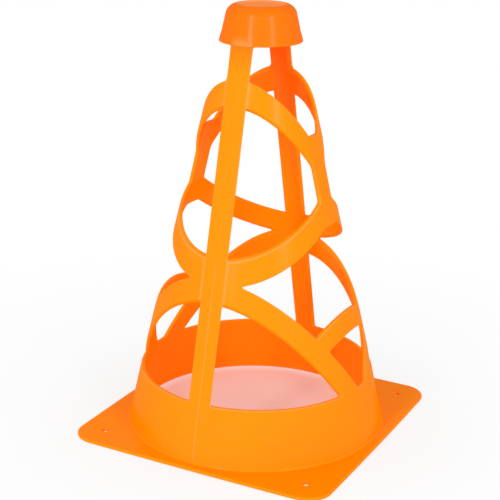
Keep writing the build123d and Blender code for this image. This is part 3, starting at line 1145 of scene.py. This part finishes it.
def set_camera(stage):
    """Camera at the viewing angle, built from its position and its right, up and back directions."""
    down, yaw, roll = stage.camera_pitch, stage.camera_yaw, stage.camera_roll
    turn = Matrix.Rotation(stage.camera_azimuth, 3, "Z")
    aim = turn @ Matrix.Rotation(-yaw, 3, "Z")
    right = aim @ Vector((1, 0, 0))
    up = aim @ Vector((0, sin(down), cos(down)))
    back = right.cross(up)
    rolled_right = right * cos(roll) + up * sin(roll)
    rolled_up = up * cos(roll) - right * sin(roll)
    place = turn @ Vector((0, -stage.camera_distance, stage.camera_height))
    camera_data = bpy.data.cameras.new("studio_camera")
    camera_data.lens = stage.lens
    camera_data.sensor_width = SENSOR_WIDTH
    camera_data.clip_start = NEAREST_SEEN
    camera = bpy.data.objects.new("studio_camera", camera_data)
    camera.matrix_world = Matrix.Translation(place) @ Matrix(
        (rolled_right, rolled_up, back)).transposed().to_4x4()
    bpy.context.scene.collection.objects.link(camera)
    bpy.context.scene.camera = camera


def add_softbox(name, azimuth, elevation, distance, size, power):
    """Rectangular light that looks at the middle of the cone."""
    target = Vector((0, 0, TOTAL_HEIGHT / 2))
    away = Vector((sin(azimuth) * cos(elevation), -cos(azimuth) * cos(elevation), sin(elevation)))
    data = bpy.data.lights.new(name, "AREA")
    data.shape = "RECTANGLE"
    data.size, data.size_y = size
    data.energy = power
    lamp = bpy.data.objects.new(name, data)
    lamp.matrix_world = (
        Matrix.Translation(target + away * distance) @ away.to_track_quat("Z", "Y").to_matrix().to_4x4())
    bpy.context.scene.collection.objects.link(lamp)


def seen_rays(nodes, links):
    """Socket that is 1 on the rays that show the background: seen, mirrored or through glass."""
    rays = nodes.new("ShaderNodeLightPath").outputs
    mirrored = larger_socket(nodes, links, rays["Is Camera Ray"], rays["Is Glossy Ray"])
    return larger_socket(nodes, links, mirrored, rays["Is Transmission Ray"])


def pale_floor():
    """Matt white floor that takes the shadow near the cone and fades to plain white away from it; under the
    cone, pink bounce light from the orange walls is painted into the white.
    """
    material = bpy.data.materials.new("pale_floor")
    material.use_nodes = True
    nodes, links = material.node_tree.nodes, material.node_tree.links
    nodes.clear()
    matt = nodes.new("ShaderNodeBsdfDiffuse")
    matt.inputs["Color"].default_value = (FLOOR_WHITE, FLOOR_WHITE, FLOOR_WHITE, 1)
    white = nodes.new("ShaderNodeEmission")
    # Painted bounce light: pink from the orange walls, painted into the white that is seen under the cone
    painted_bounce = nodes.new("ShaderNodeValToRGB")
    under, beyond = painted_bounce.color_ramp.elements
    under.position, beyond.position = PAINTED_BOUNCE_EDGE
    under.color = (*PAINTED_BOUNCE_COLOUR, 1)
    place = nodes.new("ShaderNodeTexCoord")
    away = nodes.new("ShaderNodeVectorMath")
    away.operation = "LENGTH"
    reach = nodes.new("ShaderNodeMapRange")
    reach.inputs["From Max"].default_value = FLOOR_REACH
    fade = nodes.new("ShaderNodeValToRGB")
    for share, level in FLOOR_LEVELS:
        fade.color_ramp.elements.new(share).color = (level, level, level, 1)
    fade.color_ramp.elements[0].color = fade.color_ramp.elements[1].color
    seen = nodes.new("ShaderNodeMath")
    seen.operation = "MULTIPLY"
    mix = nodes.new("ShaderNodeMixShader")
    output = nodes.new("ShaderNodeOutputMaterial")
    links.new(place.outputs["Object"], away.inputs[0])
    links.new(away.outputs["Value"], reach.inputs["Value"])
    links.new(reach.outputs["Result"], fade.inputs["Fac"])
    links.new(reach.outputs["Result"], painted_bounce.inputs["Fac"])
    links.new(painted_bounce.outputs["Color"], white.inputs["Color"])
    links.new(seen_rays(nodes, links), seen.inputs[0])
    links.new(fade.outputs["Color"], seen.inputs[1])
    links.new(seen.outputs["Value"], mix.inputs["Fac"])
    links.new(matt.outputs["BSDF"], mix.inputs[1])
    links.new(white.outputs["Emission"], mix.inputs[2])
    links.new(mix.outputs["Shader"], output.inputs["Surface"])
    return material


def white_sky(stage):
    """White light, softer overhead, that looks plain white to the camera."""
    world = bpy.data.worlds.new("white_sky")
    bpy.context.scene.world = world
    world.use_nodes = True
    nodes, links = world.node_tree.nodes, world.node_tree.links
    nodes.clear()
    place = nodes.new("ShaderNodeTexCoord")
    axes = nodes.new("ShaderNodeSeparateXYZ")
    level = nodes.new("ShaderNodeMapRange")
    level.inputs["To Min"].default_value = stage.sky
    level.inputs["To Max"].default_value = stage.sky_overhead
    light = nodes.new("ShaderNodeBackground")
    light.inputs["Color"].default_value = (1, 1, 1, 1)
    white = nodes.new("ShaderNodeBackground")
    white.inputs["Color"].default_value = (1, 1, 1, 1)
    mix = nodes.new("ShaderNodeMixShader")
    output = nodes.new("ShaderNodeOutputWorld")
    links.new(place.outputs["Generated"], axes.inputs["Vector"])
    links.new(axes.outputs["Z"], level.inputs["Value"])
    links.new(level.outputs["Result"], light.inputs["Strength"])
    links.new(seen_rays(nodes, links), mix.inputs["Fac"])
    links.new(light.outputs["Background"], mix.inputs[1])
    links.new(white.outputs["Background"], mix.inputs[2])
    links.new(mix.outputs["Shader"], output.inputs["Surface"])


class CONE_OT_stage(bpy.types.Operator):
    """Pale floor, soft studio light and the camera"""
    bl_idname = "cone.stage"
    bl_label = "Studio Stage"
    bl_options = {"REGISTER", "UNDO"}

    def execute(self, context):
        stage = context.scene.cone_stage
        half = FLOOR_HALF
        corners = [(-half, -half, 0), (half, -half, 0), (half, half, 0), (-half, half, 0)]
        floor_mesh = bpy.data.meshes.new("floor")
        floor_mesh.from_pydata(corners, [], [(0, 1, 2, 3)])
        floor_mesh.materials.append(pale_floor())
        floor = bpy.data.objects.new("floor", floor_mesh)
        # A hair under the plate, so that the two faces never lie in one plane
        floor.location.z = -FLOOR_DROP
        context.scene.collection.objects.link(floor)
        white_sky(stage)
        front = stage.camera_azimuth
        for (name, swing), power in zip(SOFTBOX_SWINGS.items(), (stage.key_power, stage.fill_power)):
            add_softbox(name, front + swing, SOFTBOX_ELEVATION, SOFTBOX_DISTANCE, SOFTBOX_SIZE, power)
        add_softbox(
            "top_light", front, TOP_LIGHT_ELEVATION, TOP_LIGHT_DISTANCE, TOP_LIGHT_SIZE, stage.top_power)
        set_camera(stage)
        context.scene.view_settings.view_transform = "Standard"
        return {"FINISHED"}


class CONE_PT_panel(bpy.types.Panel):
    """Members of the cone, their sizes and finish, and the stage"""
    bl_idname = "CONE_PT_panel"
    bl_label = "Marker Cone"
    bl_space_type = "VIEW_3D"
    bl_region_type = "UI"
    bl_category = "Marker Cone"

    def draw(self, context):
        for group in (context.scene.cone_moulding, context.scene.cone_finish, context.scene.cone_stage):
            box = self.layout.box()
            for name in group.bl_rna.properties.keys():
                if name not in ("rna_type", "name"):
                    box.prop(group, name)
        column = self.layout.column(align=True)
        for operator in OPERATORS:
            column.operator(operator.bl_idname)


GROUPS = (MouldingSizes, PlasticFinish, StudioStage)
OPERATORS = (
    CONE_OT_base_plate,
    CONE_OT_skirt_ring,
    CONE_OT_legs,
    CONE_OT_upper_bands,
    CONE_OT_middle_bands,
    CONE_OT_lower_bands,
    CONE_OT_struts,
    CONE_OT_cross_bars,
    CONE_OT_top_cap,
    CONE_OT_stage,
)
CLASSES = GROUPS + OPERATORS + (CONE_PT_panel,)


def register():
    for cls in CLASSES:
        bpy.utils.register_class(cls)
    bpy.types.Scene.cone_moulding = PointerProperty(type=MouldingSizes)
    bpy.types.Scene.cone_finish = PointerProperty(type=PlasticFinish)
    bpy.types.Scene.cone_stage = PointerProperty(type=StudioStage)


def unregister():
    del bpy.types.Scene.cone_stage
    del bpy.types.Scene.cone_finish
    del bpy.types.Scene.cone_moulding
    for cls in reversed(CLASSES):
        bpy.utils.unregister_class(cls)


def main():
    """Make every piece and the stage."""
    register()
    for operator in OPERATORS:
        group, name = operator.bl_idname.split(".")
        getattr(getattr(bpy.ops, group), name)()
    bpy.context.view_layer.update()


if __name__ == "__main__":
    main()
